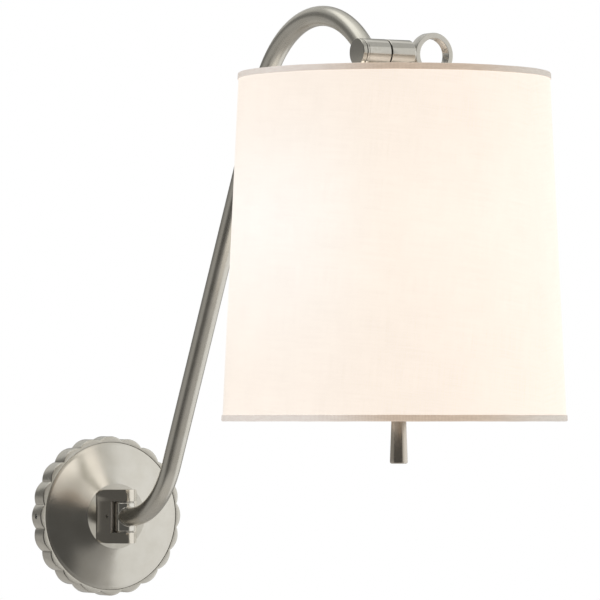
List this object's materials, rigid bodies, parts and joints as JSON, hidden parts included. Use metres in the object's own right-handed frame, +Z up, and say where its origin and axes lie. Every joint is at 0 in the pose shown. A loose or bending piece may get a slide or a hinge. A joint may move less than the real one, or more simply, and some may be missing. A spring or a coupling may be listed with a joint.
{
  "type": "swing-arm wall light",
  "caption": "Wall light with a scalloped round backplate, a swinging gooseneck tube arm, a tilting tapered drum shade with a ring clamp, and a dimmer knob below.",
  "frame": {"origin": "centre of the round wall plate, on the wall plane", "axes": "+Z up, +Y into the wall, -Y out into the room, +X to the right for a person facing the wall"},
  "size_m": [0.2286, 0.4838, 0.4032],
  "materials": {
    "satin_nickel": "satin",
    "bright_nickel": "polished",
    "zinc_steel": "satin",
    "green_screw": "gloss",
    "brass": "satin",
    "porcelain": "gloss",
    "opal_glass": "gloss",
    "shade_linen": "matte",
    "shade_ribbon": "matte",
    "black_plastic": "matte",
    "pale_plastic": "matte",
    "orange_plastic": "matte"
  },
  "bodies": {
    "wall_base": {"mounting_strap": "zinc_steel", "strap_screw_left": "zinc_steel", "strap_screw_right": "zinc_steel", "ground_screw": "green_screw", "scalloped_rim": "satin_nickel", "backplate_dome": "satin_nickel", "rim_set_screw_left": "zinc_steel", "rim_set_screw_right": "zinc_steel", "hinge_bracket": "satin_nickel", "bracket_screw_upper": "zinc_steel", "bracket_screw_lower": "zinc_steel", "bracket_set_screw": "zinc_steel", "pivot_screw_upper": "zinc_steel", "pivot_screw_lower": "zinc_steel", "hinge_washer_upper": "bright_nickel", "hinge_washer_lower": "bright_nickel", "lead_line": "black_plastic", "lead_neutral": "pale_plastic", "wire_connector_left": "orange_plastic", "wire_connector_right": "orange_plastic"},
    "arm": {"arm_tube": "satin_nickel", "arm_wire": "black_plastic", "wall_barrel": "bright_nickel", "knuckle_arm": "bright_nickel", "knuckle_cap": "satin_nickel", "friction_washer": "black_plastic"},
    "clamp_screw": {"finger_ring": "bright_nickel"},
    "shade_head": {"knuckle_head": "bright_nickel", "head_nipple": "brass", "harp_top_plate": "brass", "retaining_nut": "brass", "shade_spider": "satin_nickel", "shade_bottom_ring": "satin_nickel", "shade_fabric": "shade_linen", "top_trim": "shade_ribbon", "bottom_trim": "shade_ribbon", "harp_leg_left": "brass", "harp_leg_right": "brass", "harp_base_plate": "brass", "socket_nipple": "brass", "socket_cup": "brass", "socket_insulator": "porcelain", "socket_screw_shell": "brass", "socket_contact": "brass", "bulb_cap": "zinc_steel", "bulb_glass": "opal_glass", "dimmer_body": "black_plastic", "dimmer_bushing": "brass", "dimmer_nut": "brass", "socket_wire": "pale_plastic"},
    "dimmer": {"dimmer_knob": "satin_nickel", "dimmer_shaft": "pale_plastic"}
  },
  "joints": [
    {"name": "arm_swing", "type": "hinge", "parent": "wall_base", "child": "arm", "pos_m": [0, -0.034, 0], "axis": [0, 0, 1], "range_deg": [-50, 50]},
    {"name": "clamp_screw_turn", "type": "hinge", "parent": "arm", "child": "clamp_screw", "pos_m": [0.0485, -0.3695, 0.3111], "axis": [1, 0, 0], "range_deg": [0, 180]},
    {"name": "shade_tilt", "type": "hinge", "parent": "arm", "child": "shade_head", "pos_m": [0.0196, -0.3695, 0.3111], "axis": [1, 0, 0], "range_deg": [-60, 10]},
    {"name": "dimmer_turn", "type": "hinge", "parent": "shade_head", "child": "dimmer", "pos_m": [0.023, -0.3695, 0.04], "axis": [0, 0, 1], "range_deg": [-300, 0]}
  ]
}
